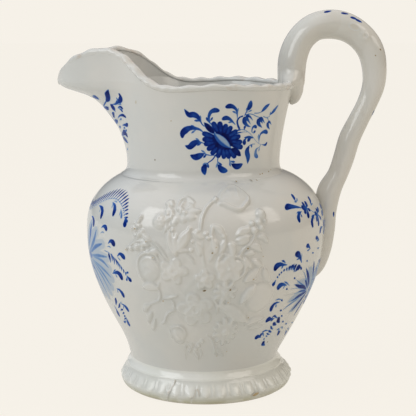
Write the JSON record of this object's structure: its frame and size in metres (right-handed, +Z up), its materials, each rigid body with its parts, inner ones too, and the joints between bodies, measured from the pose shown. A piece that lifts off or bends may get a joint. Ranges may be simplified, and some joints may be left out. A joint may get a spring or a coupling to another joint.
{
  "type": "cream jug",
  "caption": "Footed porcelain cream jug with a drawn beak spout, a looped branch handle, a tongued foot and flowers in low relief on both sides.",
  "frame": {"origin": "centre of the foot's standing face, on the body's axis", "axes": "+Z up, +X towards the handle, -X towards the spout, -Y towards the near relief"},
  "size_m": [0.1301, 0.0974, 0.1493],
  "materials": {
    "glaze_body": "glossy white glaze with a faint grey-green cast, small specks and pin marks",
    "glaze_neck": "glossy white glaze with a faint grey-green cast, small specks and pin marks",
    "glaze_rim": "glossy white glaze with a faint grey-green cast, small specks and pin marks",
    "glaze_handle": "glossy white glaze with a faint grey-green cast, small specks and pin marks",
    "glaze_foot": "glossy white glaze with a faint grey-green cast, small specks and pin marks",
    "glaze_relief": "glossy white glaze with a faint grey-green cast, small specks and pin marks"
  },
  "bodies": {
    "root": {"foot": "glaze_foot", "foot_border": "glaze_foot", "base_disc": "glaze_body", "belly": "glaze_body", "neck": "glaze_neck", "spout": "glaze_neck", "rim_border": "glaze_rim", "handle": "glaze_handle", "handle_knot": "glaze_handle", "near_poppy": "glaze_relief", "near_lilac_spray": "glaze_relief", "near_berry_spray": "glaze_relief", "near_tulip_leaves": "glaze_relief", "near_bud_leaves": "glaze_relief", "near_berry_branch": "glaze_relief", "near_curled_leaf": "glaze_relief", "near_small_rose": "glaze_relief", "near_five_petal": "glaze_relief", "near_pansy": "glaze_relief", "near_aster": "glaze_relief", "near_fruit": "glaze_relief", "near_big_rose": "glaze_relief", "near_rose_leaf": "glaze_relief", "near_leaf_spray": "glaze_relief", "near_bellflower": "glaze_relief", "near_daisy": "glaze_relief", "near_base_spray": "glaze_relief", "far_poppy": "glaze_relief", "far_lilac_spray": "glaze_relief", "far_berry_spray": "glaze_relief", "far_tulip_leaves": "glaze_relief", "far_bud_leaves": "glaze_relief", "far_berry_branch": "glaze_relief", "far_curled_leaf": "glaze_relief", "far_small_rose": "glaze_relief", "far_five_petal": "glaze_relief", "far_pansy": "glaze_relief", "far_aster": "glaze_relief", "far_fruit": "glaze_relief", "far_big_rose": "glaze_relief", "far_rose_leaf": "glaze_relief", "far_leaf_spray": "glaze_relief", "far_bellflower": "glaze_relief", "far_daisy": "glaze_relief", "far_base_spray": "glaze_relief"}
  },
  "joints": []
}
